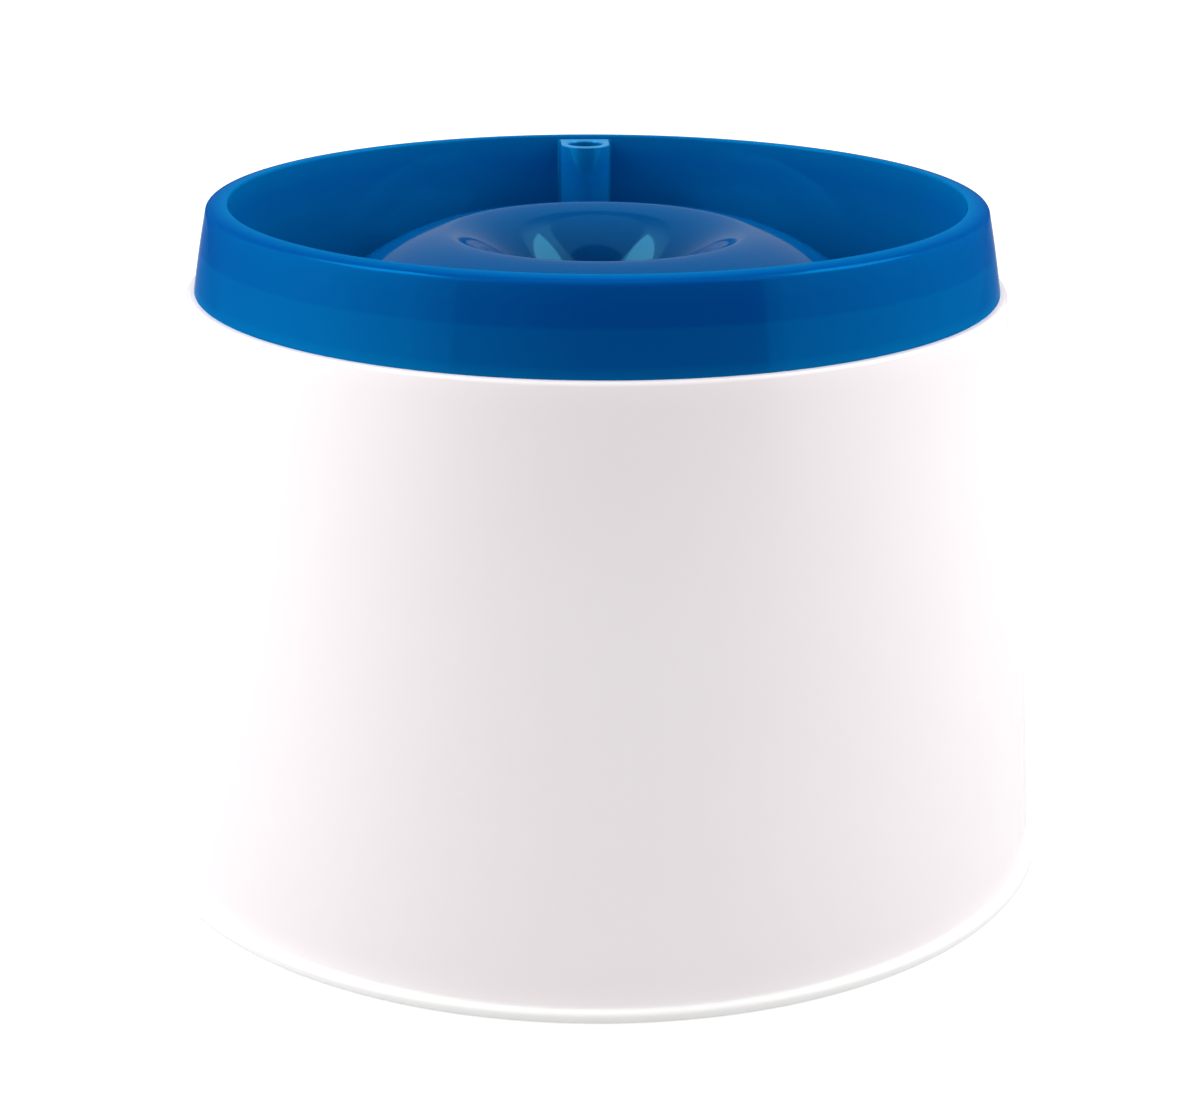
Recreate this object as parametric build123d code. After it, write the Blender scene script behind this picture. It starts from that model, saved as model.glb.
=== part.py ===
"""Raised pet water fountain: hollow stand, lift-off bowl, dome, ring filter and submersible pump.

Millimetres, +Z up. The origin is on the floor under the middle of the round stand,
and +Y points to the back, where the cord leaves.
"""
import os
from math import radians, tan

from build123d import *

# Stand
foot_proud = 0.5            # the rubber feet hold the flange this far off the floor
flange_radius = 135.0
flange_height = 3.0
flange_round = 1.3
flange_ledge = 2.3          # the flange stands out past the wall
wall_top_radius = 118.0     # outside, at the shoulder
wall_bulge = 1.1            # the wall swells out of a straight cone by this much
stand_height = 168.8        # floor to shoulder
stand_wall = 2.6
shoulder_round = 1.3
collar_height = 13.5        # the collar stands up inside the bowl's skirt
collar_wall = 2.2
rib_count = 8
rib_depth = 6.0
rib_thickness = 2.0
cord_notch_width = 16.0
cord_notch_height = 14.0

# Rubber feet
foot_count = 4
foot_radius = 6.0
foot_thickness = 1.6
foot_inset = 1.5            # from the inside of the wall to the foot
foot_pocket_edge = 2.3      # plastic round each foot's pocket
foot_fit = 0.15

# Bowl
shoulder_ledge = 2.1        # shoulder left showing outside the skirt
skirt_wall = 2.45
skirt_flare = 4.1           # the skirt's lip stands this far outside the rim
skirt_top_lean = 11.8       # degrees off vertical where the skirt leaves the rim
rim_rise = 24.7             # rim above the shoulder
rim_round = 2.0             # height of the rounded outer edge
bowl_wall = 2.4
bowl_draft = 3.0            # degrees
bowl_depth = 85.0           # rim to the basin's floor
basin_corner = 10.0         # rounded corner between the basin's wall and floor
basin_bevel = 8.0           # bevel round the basin's underside
seat_clearance = 0.55       # collar to the skirt and to the basin
foot_ring_radius = 70.0     # stiffening ring under the basin's floor
foot_ring_height = 3.0

# Cord standpipe at the back of the basin
standpipe_bore = 11.0
standpipe_wall = 2.3
standpipe_drop = 1.2        # its mouth lies this far under the rim
standpipe_inset = 8.6       # from the rim's inner edge to the pipe's axis

# Dome
dome_wall = 2.2
dome_skin = 2.9             # the shell's thickness measured straight down
dome_drop = 10.2            # crest under the rim
dome_crest_radius = 43.2
dome_reach = 64.4           # from the crest to where the outer slope would stand upright
dome_slope_drop = 75.7      # fall of the outer slope over that reach
dome_slope_power = 1.66
funnel_power = 1.18
dome_hole_gap = 1.7         # hole to the riser nozzle that comes up through it
dome_spigot_length = 3.5
dome_clearance = 1.2        # dome to the standpipe
dome_lift_gap = 2.3         # spigot over the top of the pump
arch_count = 12
arch_width = 26.0
arch_height = 24.0
curve_steps = 6             # points along each side of the top curve
cone_steps = 4              # straight cones along each side of the underside

# Pump
pump_width = 40.0
pump_wall = 1.6
pump_round = 3.0
cup_height = 2.5            # the suction cups stand this far under the pump
chamber_width = 13.0        # impeller chamber, along the rotor axis
chamber_radius = 13.6
volute_wall = 1.5
volute_gap = 0.3            # volute to the intake cover over it
inlet_radius = 6.0
inlet_spokes = 3
spoke_width = 1.6
outlet_bore_radius = 4.5
outlet_wall = 1.3
outlet_rise = 3.6           # outlet pipe above the top of the pump
intake_length = 11.5        # from the impeller chamber to the intake cover's front
intake_slot_width = 2.0
intake_slot_pitch = 4.0
intake_slot_count = 8
cover_gap = 0.2

# Motor
well_wall = 1.2
well_length = 27.0
well_gap = 0.45             # rotor well to the winding under it
rotor_gap = 0.4
magnet_radius = 4.6
magnet_length = 20.0
shaft_radius = 1.0
shaft_fit = 0.05
bush_radius = 2.5
bush_length = 2.6
bush_fit = 0.05
washer_radius = 2.2
washer_thickness = 0.5
core_leg = 4.6
core_yoke = 4.0
core_window = 16.0          # width of the opening that the coil fills
pole_gap = 3.0              # between the two pole shoes
pole_tip = 1.2              # the shoes reach this far past the rotor well
core_stack = 14.0
core_start = 6.5            # from the chamber's back face to the laminations
coil_build = 2.2            # winding thickness over the bobbin
bobbin_wall = 0.8
potting_depth = 4.5
potting_gap = 1.5           # rotor well to the potting behind it
inner_gap = 0.25            # between the moulded and wound pieces inside
seal_section = 0.9
seal_seat = 2.0

# Impeller
impeller_radius = 11.2
impeller_disc = 1.2
blade_count = 6
blade_width = 1.2
blade_height = 5.0
hub_radius = 3.0

# Flow dial in the intake cover
dial_radius = 7.5
dial_thickness = 2.2
dial_neck_radius = 5.0
dial_fit = 0.08
dial_play = 0.2
shutter_radius = 11.0
shutter_thickness = 1.0
tab_length = 3.5
tab_width = 3.2

# Suction cups
cup_radius = 7.0
cup_neck_radius = 2.4
cup_neck_fit = 0.1
cup_lip = 0.9
cup_spacing_x = 24.0
cup_spacing_y = 18.0

# Riser nozzle on the pump's outlet
nozzle_wall = 1.4
nozzle_fit = 0.1
nozzle_stand = 4.5          # nozzle above the outlet pipe
nozzle_seat = 0.4           # nozzle above the pump's top

# Cord gland
gland_radius = 4.2
gland_bore_radius = 2.5
gland_length = 7.0
gland_flange = 1.3
gland_flange_thickness = 1.4

# Ring filter
filter_pump_gap = 2.5       # ring's hole to the end of the pump's cord gland
filter_wall = 1.7
filter_height = 34.0
filter_lid_thickness = 1.8
filter_lip = 3.0
filter_gap = 5.0            # filter to the inside of the dome's skirt
outer_slot_count = 24
inner_slot_count = 16
filter_slot_width = 4.0
filter_slot_height = 24.0
filter_fill_gap = 0.4
carbon_share = 0.45         # of the ring's width


# Heights and radii that follow from the sizes above
flange_z = foot_proud
flange_top_z = flange_z + flange_height
wall_foot_radius = flange_radius - flange_ledge
shoulder_z = stand_height
collar_top_z = shoulder_z + collar_height
lip_radius = wall_top_radius - shoulder_ledge
rim_radius = lip_radius - skirt_flare
rim_z = shoulder_z + rim_rise
rim_edge_z = rim_z - rim_round
skirt_height = rim_edge_z - shoulder_z
collar_share = collar_height / skirt_height
skirt_lean_share = tan(radians(skirt_top_lean)) * skirt_height / skirt_flare - 1
collar_set_back = skirt_flare * collar_share * (1 - skirt_lean_share + skirt_lean_share * collar_share)
collar_outer_radius = lip_radius - collar_set_back - skirt_wall - seat_clearance
collar_inner_radius = collar_outer_radius - collar_wall
rim_inner_radius = collar_inner_radius - seat_clearance - bowl_wall
basin_floor_z = rim_z - bowl_depth
underside_z = basin_floor_z - bowl_wall

standpipe_radius = standpipe_bore / 2 + standpipe_wall
standpipe_y = rim_inner_radius - standpipe_inset
standpipe_top_z = rim_z - standpipe_drop

well_bore_radius = magnet_radius + rotor_gap
well_radius = well_bore_radius + well_wall
winding_reach = core_yoke / 2 + inner_gap + bobbin_wall + coil_build
winding_rise = pump_wall + inner_gap + winding_reach
rotor_axis_rise = winding_rise + winding_reach + well_gap + well_radius
pump_height = rotor_axis_rise + chamber_radius + volute_wall + volute_gap + pump_wall
pump_z = basin_floor_z + cup_height
pump_top_z = pump_z + pump_height
axis_z = pump_z + rotor_axis_rise
winding_z = pump_z + winding_rise
dial_z = pump_top_z - pump_round - tab_length - dial_radius
gland_z = pump_z + pump_height / 3

chamber_y = -chamber_width / 2             # the chamber is centred under the dome's hole
motor_y = chamber_width / 2
well_end_y = motor_y + well_length
motor_back_y = well_end_y + potting_gap + potting_depth
intake_y = chamber_y - intake_length
core_y = motor_y + core_start
outlet_radius = outlet_bore_radius + outlet_wall
outlet_top_z = pump_top_z + outlet_rise
nozzle_radius = outlet_radius + nozzle_fit + nozzle_wall
hub_ring_radius = bush_radius + bush_fit + pump_wall / 2
front_bush_y = chamber_y + volute_wall - bush_length
rear_bush_y = well_end_y - well_wall - bush_length
magnet_y = rear_bush_y - washer_thickness - inner_gap - magnet_length
disc_y = motor_y - seal_seat - inner_gap - impeller_disc
blade_y = disc_y - blade_height

crest_z = rim_z - dome_drop
dome_skirt_radius = standpipe_y - standpipe_radius - dome_clearance
dome_hole_radius = nozzle_radius + dome_hole_gap
funnel_run = dome_crest_radius - dome_hole_radius
spigot_z = pump_top_z + dome_lift_gap
funnel_depth = crest_z - spigot_z - dome_spigot_length

filter_inner_radius = motor_back_y + gland_length + filter_pump_gap
filter_outer_radius = dome_skirt_radius - dome_wall - filter_gap
filter_top_z = basin_floor_z + filter_height
fill_outer_radius = filter_outer_radius - filter_wall - filter_fill_gap
fill_inner_radius = filter_inner_radius + filter_wall + filter_fill_gap
fill_split_radius = fill_inner_radius + (fill_outer_radius - fill_inner_radius) * carbon_share

foot_ring = wall_foot_radius - stand_wall - foot_inset - foot_radius


def basin_radius(z):
    """Inside radius of the drafted basin wall at a height."""
    return rim_inner_radius - (rim_z - z) * tan(radians(bowl_draft))


def turned(*edges):
    """A solid of revolution about +Z from a closed outline of (radius, height) edges."""
    return revolve(Plane.XZ * make_face(list(edges)), Axis.Z)


def drum(radius, start, length, x=0.0, z=0.0):
    """A cylinder along +Y that starts at a y."""
    return Pos(x, start + length / 2, z) * Rot(90, 0, 0) * Cylinder(radius, length)


def block(x0, x1, y0, y1, z0, z1):
    """A box from its lowest to its highest corner."""
    return Pos((x0 + x1) / 2, (y0 + y1) / 2, (z0 + z1) / 2) * Box(x1 - x0, y1 - y0, z1 - z0)


def post(radius, z0, z1, x=0.0, y=0.0):
    """An upright cylinder between two heights."""
    return Pos(x, y, (z0 + z1) / 2) * Cylinder(radius, z1 - z0)


def around(shape, count, first=0.0):
    """Copies of a shape set evenly about +Z."""
    return [Rot(0, 0, first + 360 / count * i) * shape for i in range(count)]


def quarter_round(start, radius):
    """A rounded outer edge in an outline, from its outermost point up and in."""
    return RadiusArc(start, (start[0] - radius, start[1] + radius), -radius)


# Stand

def stand_side(inset, top_z):
    """Foot, middle and top of the stand's swelling side, moved in by a distance."""
    foot = (wall_foot_radius - inset, flange_top_z)
    top = (wall_top_radius - inset, top_z)
    return foot, ((foot[0] + top[0]) / 2 + wall_bulge, (foot[1] + top[1]) / 2), top


def make_stand_shell():
    foot, middle, top = stand_side(0, shoulder_z - shoulder_round)
    inner_foot, inner_middle, inner_top = stand_side(stand_wall, shoulder_z - stand_wall)
    flange_edge = (flange_radius, flange_top_z - flange_round)
    shell = turned(
        Polyline((inner_foot[0], flange_z), (flange_radius, flange_z), flange_edge),
        quarter_round(flange_edge, flange_round),
        Line((flange_radius - flange_round, flange_top_z), foot),
        ThreePointArc(foot, middle, top),
        quarter_round(top, shoulder_round),
        Polyline((wall_top_radius - shoulder_round, shoulder_z), (collar_outer_radius, shoulder_z),
                 (collar_outer_radius, collar_top_z), (collar_inner_radius, collar_top_z),
                 (collar_inner_radius, inner_top[1]), inner_top, inner_middle, inner_foot,
                 (inner_foot[0], flange_z)),
    )
    shell += stand_ribs()
    tab = post(foot_radius + foot_pocket_edge, flange_z, flange_top_z, foot_ring)
    shell += around(tab, foot_count, 180 / foot_count)
    pocket = post(foot_radius + foot_fit, 0, foot_thickness + foot_fit, foot_ring)
    shell -= around(pocket, foot_count, 180 / foot_count)
    return shell - cord_notch()


def stand_ribs():
    """Upright ribs on the inside of the wall, between the flange and the shoulder."""
    outer = stand_side(stand_wall / 2, shoulder_z - stand_wall / 2)
    inner = stand_side(stand_wall + rib_depth, shoulder_z - stand_wall / 2)
    band = turned(Polyline(*outer, *reversed(inner), close=True))
    plate = block(0, flange_radius, -rib_thickness / 2, rib_thickness / 2, 0, stand_height)
    return [band & rib for rib in around(plate, rib_count, 180 / rib_count)]


def cord_notch():
    """Arched mouse hole at the foot of the back wall, where the cord leaves."""
    half = cord_notch_width / 2
    arch_z = cord_notch_height - half
    near_y = wall_foot_radius - stand_wall - rib_depth
    far_y = flange_radius + flange_ledge
    return block(-half, half, near_y, far_y, 0, arch_z) + drum(half, near_y, far_y - near_y, 0, arch_z)


def make_foot_pads():
    pad = post(foot_radius, 0, foot_thickness, foot_ring)
    return Compound(around(pad, foot_count, 180 / foot_count))


# Bowl

def skirt_arc(inset):
    """The skirt's flared side, from the rim's rounded edge down to the lip."""
    lean = (tan(radians(skirt_top_lean)), -1)
    return TangentArc((rim_radius - inset, rim_edge_z), (lip_radius - inset, shoulder_z), tangent=lean)


def make_bowl():
    floor_corner = (basin_radius(basin_floor_z), basin_floor_z)
    bevel_z = underside_z + basin_bevel
    lean = (tan(radians(skirt_top_lean)), -1)
    outline = make_face([
        Polyline((0, underside_z), (0, basin_floor_z), floor_corner, (rim_inner_radius, rim_z)),
        Spline((rim_inner_radius, rim_z), (rim_radius, rim_edge_z), tangents=[(1, 0), lean]),
        skirt_arc(0),
        Line((lip_radius, shoulder_z), (lip_radius - skirt_wall, shoulder_z)),
        skirt_arc(skirt_wall),
        Polyline((rim_radius - skirt_wall, rim_edge_z), (basin_radius(rim_edge_z) + bowl_wall, rim_edge_z),
                 (basin_radius(bevel_z) + bowl_wall, bevel_z),
                 (basin_radius(underside_z) + bowl_wall - basin_bevel, underside_z), (0, underside_z)),
    ])
    nearest = outline.vertices().sort_by_distance((*floor_corner, 0))[0]
    bowl = revolve(Plane.XZ * fillet(nearest, basin_corner), Axis.Z)
    foot_ring_z = underside_z - foot_ring_height
    bowl += post(foot_ring_radius, foot_ring_z, underside_z) \
        - post(foot_ring_radius - bowl_wall, foot_ring_z, underside_z)
    bowl += standpipe_pillar()
    return bowl - post(standpipe_bore / 2, foot_ring_z, rim_z, 0, standpipe_y)


def standpipe_pillar():
    """Round-fronted pillar that grows out of the basin's back wall."""
    pillar = post(standpipe_radius, basin_floor_z, standpipe_top_z, 0, standpipe_y)
    pillar += block(-standpipe_radius, standpipe_radius, standpipe_y, flange_radius,
                    basin_floor_z, standpipe_top_z)
    half_wall = bowl_wall / 2
    basin = turned(Polyline(
        (0, basin_floor_z - half_wall), (basin_radius(basin_floor_z) + half_wall, basin_floor_z - half_wall),
        (rim_inner_radius + half_wall, rim_z), (0, rim_z), close=True))
    return pillar & basin


# Dome

def dome_height(radius):
    """Height of the dome's top surface at a radius: a rounded ring that falls to both sides."""
    if radius < dome_crest_radius:
        share = (dome_crest_radius - radius) / funnel_run
        return crest_z - funnel_depth * (1 - (1 - share ** funnel_power) ** (1 / funnel_power))
    share = (radius - dome_crest_radius) / dome_reach
    return crest_z - dome_slope_drop * (1 - (1 - share ** dome_slope_power) ** (1 / dome_slope_power))


def dome_points(inner, outer, steps, lowered=0.0):
    """Points on the dome's top surface from one radius to another, moved down by a distance."""
    radii = [inner + (outer - inner) * i / steps for i in range(steps + 1)]
    return [(radius, dome_height(radius) - lowered) for radius in radii]


def make_dome():
    inner_hole = dome_hole_radius + dome_wall
    inner_skirt = dome_skirt_radius - dome_wall
    funnel_curve = dome_points(dome_crest_radius, dome_hole_radius, curve_steps)
    slope_curve = dome_points(dome_skirt_radius, dome_crest_radius, curve_steps)
    dome = turned(
        Spline(*funnel_curve),
        Polyline(funnel_curve[-1], (dome_hole_radius, spigot_z), (inner_hole, spigot_z),
                 *dome_points(inner_hole, dome_crest_radius, cone_steps, dome_skin),
                 *dome_points(dome_crest_radius, inner_skirt, cone_steps, dome_skin)[1:],
                 (inner_skirt, basin_floor_z), (dome_skirt_radius, basin_floor_z), slope_curve[0]),
        Spline(*slope_curve),
    )
    half = arch_width / 2
    straight_top = basin_floor_z + arch_height - half
    arch = block(-half, half, inner_skirt - half, dome_skirt_radius + half, basin_floor_z, straight_top)
    arch += drum(half, inner_skirt - half, dome_wall + arch_width, 0, straight_top)
    return dome - around(arch, arch_count, 180 / arch_count)


# Ring filter

def slotted_ring(outer, inner, z0, z1, count):
    """An upright ring wall with evenly spaced slots."""
    wall = post(outer, z0, z1) - post(inner, z0, z1)
    middle_z = (z0 + z1) / 2
    slot = block(inner - filter_wall, outer + filter_wall, -filter_slot_width / 2, filter_slot_width / 2,
                 middle_z - filter_slot_height / 2, middle_z + filter_slot_height / 2)
    return wall - around(slot, count)


def make_filter_cage():
    floor_top = basin_floor_z + filter_wall
    outer, inner = filter_outer_radius, filter_inner_radius
    cage = post(outer, basin_floor_z, floor_top) - post(inner, basin_floor_z, floor_top)
    cage += slotted_ring(outer, outer - filter_wall, floor_top, filter_top_z, outer_slot_count)
    return cage + slotted_ring(inner + filter_wall, inner, floor_top, filter_top_z, inner_slot_count)


def make_filter_lid():
    top_z = filter_top_z + filter_lid_thickness
    lip_z = filter_top_z - filter_lip
    lip_outer = filter_outer_radius - filter_wall - inner_gap
    lid = post(filter_outer_radius, filter_top_z, top_z) - post(filter_inner_radius, filter_top_z, top_z)
    lid += post(lip_outer, lip_z, filter_top_z) - post(lip_outer - filter_wall, lip_z, filter_top_z)
    margin = (filter_outer_radius - filter_inner_radius) / 4
    slot = block(filter_inner_radius + margin, filter_outer_radius - margin,
                 -filter_slot_width / 2, filter_slot_width / 2, filter_top_z, top_z)
    return lid - around(slot, inner_slot_count)


def fill_ring(outer, inner):
    """Filter medium between the cage's floor and the lid's lip."""
    z0 = basin_floor_z + filter_wall + filter_fill_gap
    z1 = filter_top_z - filter_lip - filter_fill_gap
    return post(outer, z0, z1) - post(inner, z0, z1)


def make_filter_foam():
    return fill_ring(fill_outer_radius, fill_split_radius + filter_fill_gap / 2)


def make_filter_carbon():
    return fill_ring(fill_split_radius - filter_fill_gap / 2, fill_inner_radius)


# Pump

def pump_body(y0, y1):
    """A length of the pump's rounded box, from one y to another."""
    box = block(-pump_width / 2, pump_width / 2, y0, y1, pump_z, pump_top_z)
    return fillet(box.edges().filter_by(Axis.Y), pump_round)


def pump_bore(y0, y1, gap=0.0):
    """The room inside that length of box, less a gap all round."""
    wall = pump_wall + gap
    box = block(-pump_width / 2 + wall, pump_width / 2 - wall, y0, y1, pump_z + wall, pump_top_z - wall)
    return fillet(box.edges().filter_by(Axis.Y), pump_round - pump_wall)


def cup_places():
    """Centres of the four suction cups under the motor."""
    middle_y = (motor_y + motor_back_y) / 2
    return [(sx * cup_spacing_x / 2, middle_y + sy * cup_spacing_y / 2) for sx in (-1, 1) for sy in (-1, 1)]


def make_pump_housing():
    housing = pump_body(motor_y, motor_back_y) - pump_bore(motor_y + pump_wall, motor_back_y)
    housing += drum(well_radius, motor_y, well_length, 0, axis_z)
    housing += drum(chamber_radius - inner_gap, motor_y - seal_seat, seal_seat, 0, axis_z)
    register_y = motor_y - seal_seat
    housing -= drum(well_bore_radius, register_y, rear_bush_y - register_y, 0, axis_z)
    housing -= drum(bush_radius + bush_fit, motor_y, well_length - well_wall, 0, axis_z)
    groove = 2 * seal_section
    groove_y = motor_y - seal_seat / 2 - seal_section
    housing -= drum(chamber_radius, groove_y, groove, 0, axis_z) \
        - drum(chamber_radius - groove, groove_y, groove, 0, axis_z)
    for x, y in cup_places():
        housing -= post(cup_neck_radius + cup_neck_fit, pump_z, pump_z + pump_wall, x, y)
    return housing


def make_volute_seal():
    """Square-cut rubber ring between the housing's register and the volute."""
    outer = chamber_radius - inner_gap / 2
    seal_y = motor_y - seal_seat / 2 - seal_section + inner_gap / 2
    length = 2 * seal_section - inner_gap
    ring = drum(outer, seal_y, length, 0, axis_z)
    return ring - drum(outer - length, seal_y, length, 0, axis_z)


def make_volute():
    volute = drum(chamber_radius + volute_wall, chamber_y, chamber_width, 0, axis_z)
    volute += post(outlet_radius, axis_z, outlet_top_z)
    volute -= drum(chamber_radius, chamber_y + volute_wall, chamber_width, 0, axis_z)
    volute -= inlet_eye()
    volute -= post(outlet_bore_radius, axis_z, outlet_top_z)
    volute += drum(hub_ring_radius, front_bush_y, chamber_y - front_bush_y, 0, axis_z)
    return volute - drum(bush_radius + bush_fit, front_bush_y, bush_length, 0, axis_z)


def inlet_eye():
    """The open part of the inlet: a round hole less the bush's hub and its spokes."""
    eye = drum(inlet_radius, chamber_y, volute_wall, 0, axis_z)
    eye -= drum(hub_ring_radius, chamber_y, volute_wall, 0, axis_z)
    half = spoke_width / 2
    for i in range(inlet_spokes):
        spoke = block(-half, half, chamber_y, chamber_y + volute_wall, 0, chamber_radius)
        eye -= Pos(0, 0, axis_z) * Rot(0, 360 / inlet_spokes * i, 0) * spoke
    return eye


def make_intake_cover():
    cover_back = motor_y - cover_gap
    cover = pump_body(intake_y, cover_back) - pump_bore(intake_y + pump_wall, cover_back)
    outlet_half = nozzle_radius - nozzle_fit + cover_gap
    cover -= block(-outlet_half, outlet_half, -outlet_half, cover_back, axis_z, pump_top_z)
    cover -= drum(dial_neck_radius + dial_fit, intake_y, pump_wall, 0, dial_z)
    half_slot = intake_slot_width / 2
    low_z = pump_z + pump_wall + pump_round
    high_z = pump_top_z - pump_wall - pump_round
    for i in range(intake_slot_count):
        x = (i - (intake_slot_count - 1) / 2) * intake_slot_pitch
        cover -= block(x - half_slot, x + half_slot, intake_y, intake_y + pump_wall,
                       low_z, dial_z - dial_radius - half_slot)
    for side in (-1, 1):
        x = side * (pump_width - pump_wall) / 2
        for i in range(intake_slot_count // 4):
            y = intake_y + pump_round + intake_slot_pitch * (i + 1)
            cover -= block(x - pump_wall, x + pump_wall, y - half_slot, y + half_slot, low_z, high_z)
    return cover


def make_flow_dial():
    front_y = intake_y - dial_play - dial_thickness
    shutter_y = intake_y + pump_wall + dial_play
    back_y = shutter_y + shutter_thickness
    dial = drum(dial_radius, front_y, dial_thickness, 0, dial_z)
    dial += drum(dial_neck_radius, front_y, back_y - front_y, 0, dial_z)
    lower_half = block(-shutter_radius, shutter_radius, shutter_y, back_y, dial_z - shutter_radius, dial_z)
    dial += drum(shutter_radius, shutter_y, shutter_thickness, 0, dial_z) & lower_half
    half_tab = tab_width / 2
    tab_top_z = dial_z + dial_radius + tab_length
    dial += block(-half_tab, half_tab, front_y, front_y + dial_thickness, dial_z, tab_top_z)
    half_grip = dial_radius - tab_width
    grip_y = front_y - dial_thickness / 2
    return dial + block(-half_grip, half_grip, grip_y, front_y, dial_z - half_tab / 2, dial_z + half_tab / 2)


def make_impeller():
    impeller = drum(impeller_radius, disc_y, impeller_disc, 0, axis_z)
    impeller += drum(hub_radius, blade_y, magnet_y - blade_y, 0, axis_z)
    for i in range(blade_count):
        blade = block(-blade_width / 2, blade_width / 2, blade_y, disc_y, 0, impeller_radius)
        impeller += Pos(0, 0, axis_z) * Rot(0, 360 / blade_count * i, 0) * blade
    return impeller - drum(shaft_radius + shaft_fit, blade_y, magnet_y - blade_y, 0, axis_z)


def make_rotor_magnet():
    magnet = drum(magnet_radius, magnet_y, magnet_length, 0, axis_z)
    return magnet - drum(shaft_radius + shaft_fit, magnet_y, magnet_length, 0, axis_z)


def make_rotor_shaft():
    start = front_bush_y + bush_length / 4
    end = rear_bush_y + bush_length * 3 / 4
    return drum(shaft_radius, start, end - start, 0, axis_z)


def bush(y, blind_front):
    """Rubber bush with a blind hole for one end of the shaft."""
    hole_y = y + bush_length / 4 if blind_front else y
    hole = drum(shaft_radius + bush_fit, hole_y, bush_length * 3 / 4, 0, axis_z)
    return drum(bush_radius, y, bush_length, 0, axis_z) - hole


def make_thrust_washers():
    washers = []
    for y in (blade_y - inner_gap - washer_thickness, rear_bush_y - washer_thickness):
        washer = drum(washer_radius, y, washer_thickness, 0, axis_z)
        washers.append(washer - drum(shaft_radius + shaft_fit, y, washer_thickness, 0, axis_z))
    return Compound(washers)


def make_stator_core():
    back_y = core_y + core_stack
    yoke_z = winding_z - core_yoke / 2
    half = core_window / 2 + core_leg
    top_z = axis_z + well_radius + pole_tip
    core = block(-half, half, core_y, back_y, yoke_z, top_z)
    core -= block(-core_window / 2, core_window / 2, core_y, back_y, yoke_z + core_yoke,
                  axis_z - well_radius - inner_gap)
    core -= block(-pole_gap / 2, pole_gap / 2, core_y, back_y, yoke_z + core_yoke, top_z)
    return core - drum(well_radius + inner_gap, core_y, core_stack, 0, axis_z)


def yoke_sleeve(extra, half_length):
    """A box round the core's yoke, bigger than it by a distance on each side."""
    half = core_yoke / 2 + extra
    return block(-half_length, half_length, core_y - extra, core_y + core_stack + extra,
                 winding_z - half, winding_z + half)


def make_coil_bobbin():
    half_length = core_window / 2 - inner_gap
    tube = inner_gap + bobbin_wall
    bobbin = yoke_sleeve(tube + coil_build, half_length)
    bobbin -= yoke_sleeve(tube + coil_build, half_length - bobbin_wall) \
        - yoke_sleeve(tube, half_length - bobbin_wall)
    return bobbin - yoke_sleeve(inner_gap, half_length)


def make_stator_coil():
    half_length = core_window / 2 - 2 * inner_gap - bobbin_wall
    start = 2 * inner_gap + bobbin_wall
    return yoke_sleeve(start + coil_build - 2 * inner_gap, half_length) - yoke_sleeve(start, half_length)


def make_motor_potting():
    slab = pump_bore(motor_back_y - potting_depth, motor_back_y, inner_gap)
    return slab - drum(gland_radius + inner_gap, motor_back_y - potting_depth, potting_depth, 0, gland_z)


def make_cord_gland():
    start = motor_back_y - potting_depth
    gland = drum(gland_radius, start, gland_length + potting_depth, 0, gland_z)
    gland += drum(gland_radius + gland_flange, motor_back_y, gland_flange_thickness, 0, gland_z)
    return gland - drum(gland_bore_radius, start, gland_length + potting_depth, 0, gland_z)


def make_riser_nozzle():
    foot_z = pump_top_z + nozzle_seat
    tip_z = outlet_top_z + nozzle_stand
    nozzle = post(nozzle_radius, foot_z, tip_z) - post(outlet_radius + nozzle_fit, foot_z, outlet_top_z)
    return nozzle - post(outlet_bore_radius, foot_z, tip_z)


def make_suction_cups():
    cup = turned(Polyline(
        (0, pump_z + pump_wall), (cup_neck_radius, pump_z + pump_wall), (cup_neck_radius, pump_z),
        (cup_neck_radius + cup_lip, pump_z), (cup_radius, basin_floor_z + cup_lip),
        (cup_radius, basin_floor_z), (0, basin_floor_z + cup_height / 2), close=True))
    return Compound([Pos(x, y, 0) * cup for x, y in cup_places()])


pieces = {
    "stand_shell": make_stand_shell,
    "foot_pads": make_foot_pads,
    "bowl": make_bowl,
    "dome": make_dome,
    "filter_cage": make_filter_cage,
    "filter_lid": make_filter_lid,
    "filter_foam": make_filter_foam,
    "filter_carbon": make_filter_carbon,
    "pump_housing": make_pump_housing,
    "motor_potting": make_motor_potting,
    "stator_core": make_stator_core,
    "coil_bobbin": make_coil_bobbin,
    "stator_coil": make_stator_coil,
    "rotor_shaft": make_rotor_shaft,
    "front_bush": lambda: bush(front_bush_y, True),
    "rear_bush": lambda: bush(rear_bush_y, False),
    "thrust_washers": make_thrust_washers,
    "rotor_magnet": make_rotor_magnet,
    "impeller": make_impeller,
    "volute": make_volute,
    "volute_seal": make_volute_seal,
    "intake_cover": make_intake_cover,
    "flow_dial": make_flow_dial,
    "riser_nozzle": make_riser_nozzle,
    "cord_gland": make_cord_gland,
    "suction_cups": make_suction_cups,
}

os.makedirs("parts", exist_ok=True)
for name, make in pieces.items():
    export_step(make(), f"parts/{name}.step")
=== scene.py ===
# Pet water fountain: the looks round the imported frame, for Blender 4.5.
from math import asin, cos, pi, radians, sin, sqrt, tan

import bmesh
import bpy
from mathutils import Matrix, Vector
from mathutils.geometry import interpolate_bezier


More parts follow.
